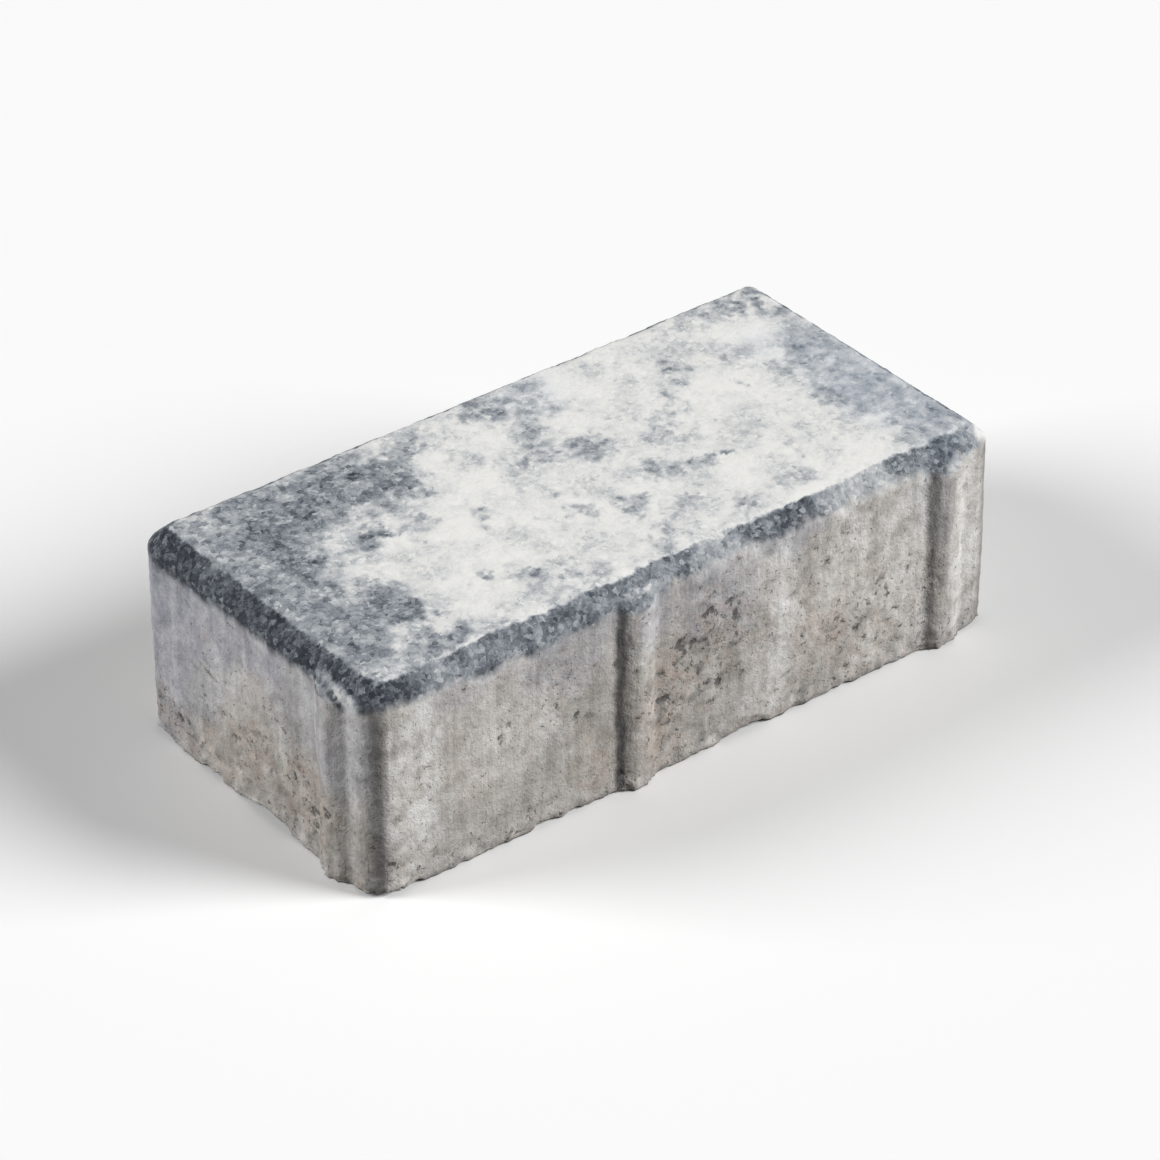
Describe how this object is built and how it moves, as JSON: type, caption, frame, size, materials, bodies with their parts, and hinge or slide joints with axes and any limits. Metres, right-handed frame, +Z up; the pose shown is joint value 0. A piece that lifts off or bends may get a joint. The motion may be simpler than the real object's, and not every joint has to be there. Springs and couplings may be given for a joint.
{
  "type": "concrete paving stone",
  "caption": "Rectangular concrete paving stone with a chamfered top edge, rounded upright corners and upright spacer ribs that keep the joints open.",
  "frame": {"origin": "middle of the underside, in the plane that the stone rests on", "axes": "+X along the stone's length, +Y across its width, +Z up through the top face"},
  "size_m": [0.202, 0.102, 0.06],
  "materials": {
    "concrete": "rough pressed concrete, mottled off-white and slate grey on top"
  },
  "bodies": {
    "root": {"paving_stone": "concrete"}
  },
  "joints": []
}
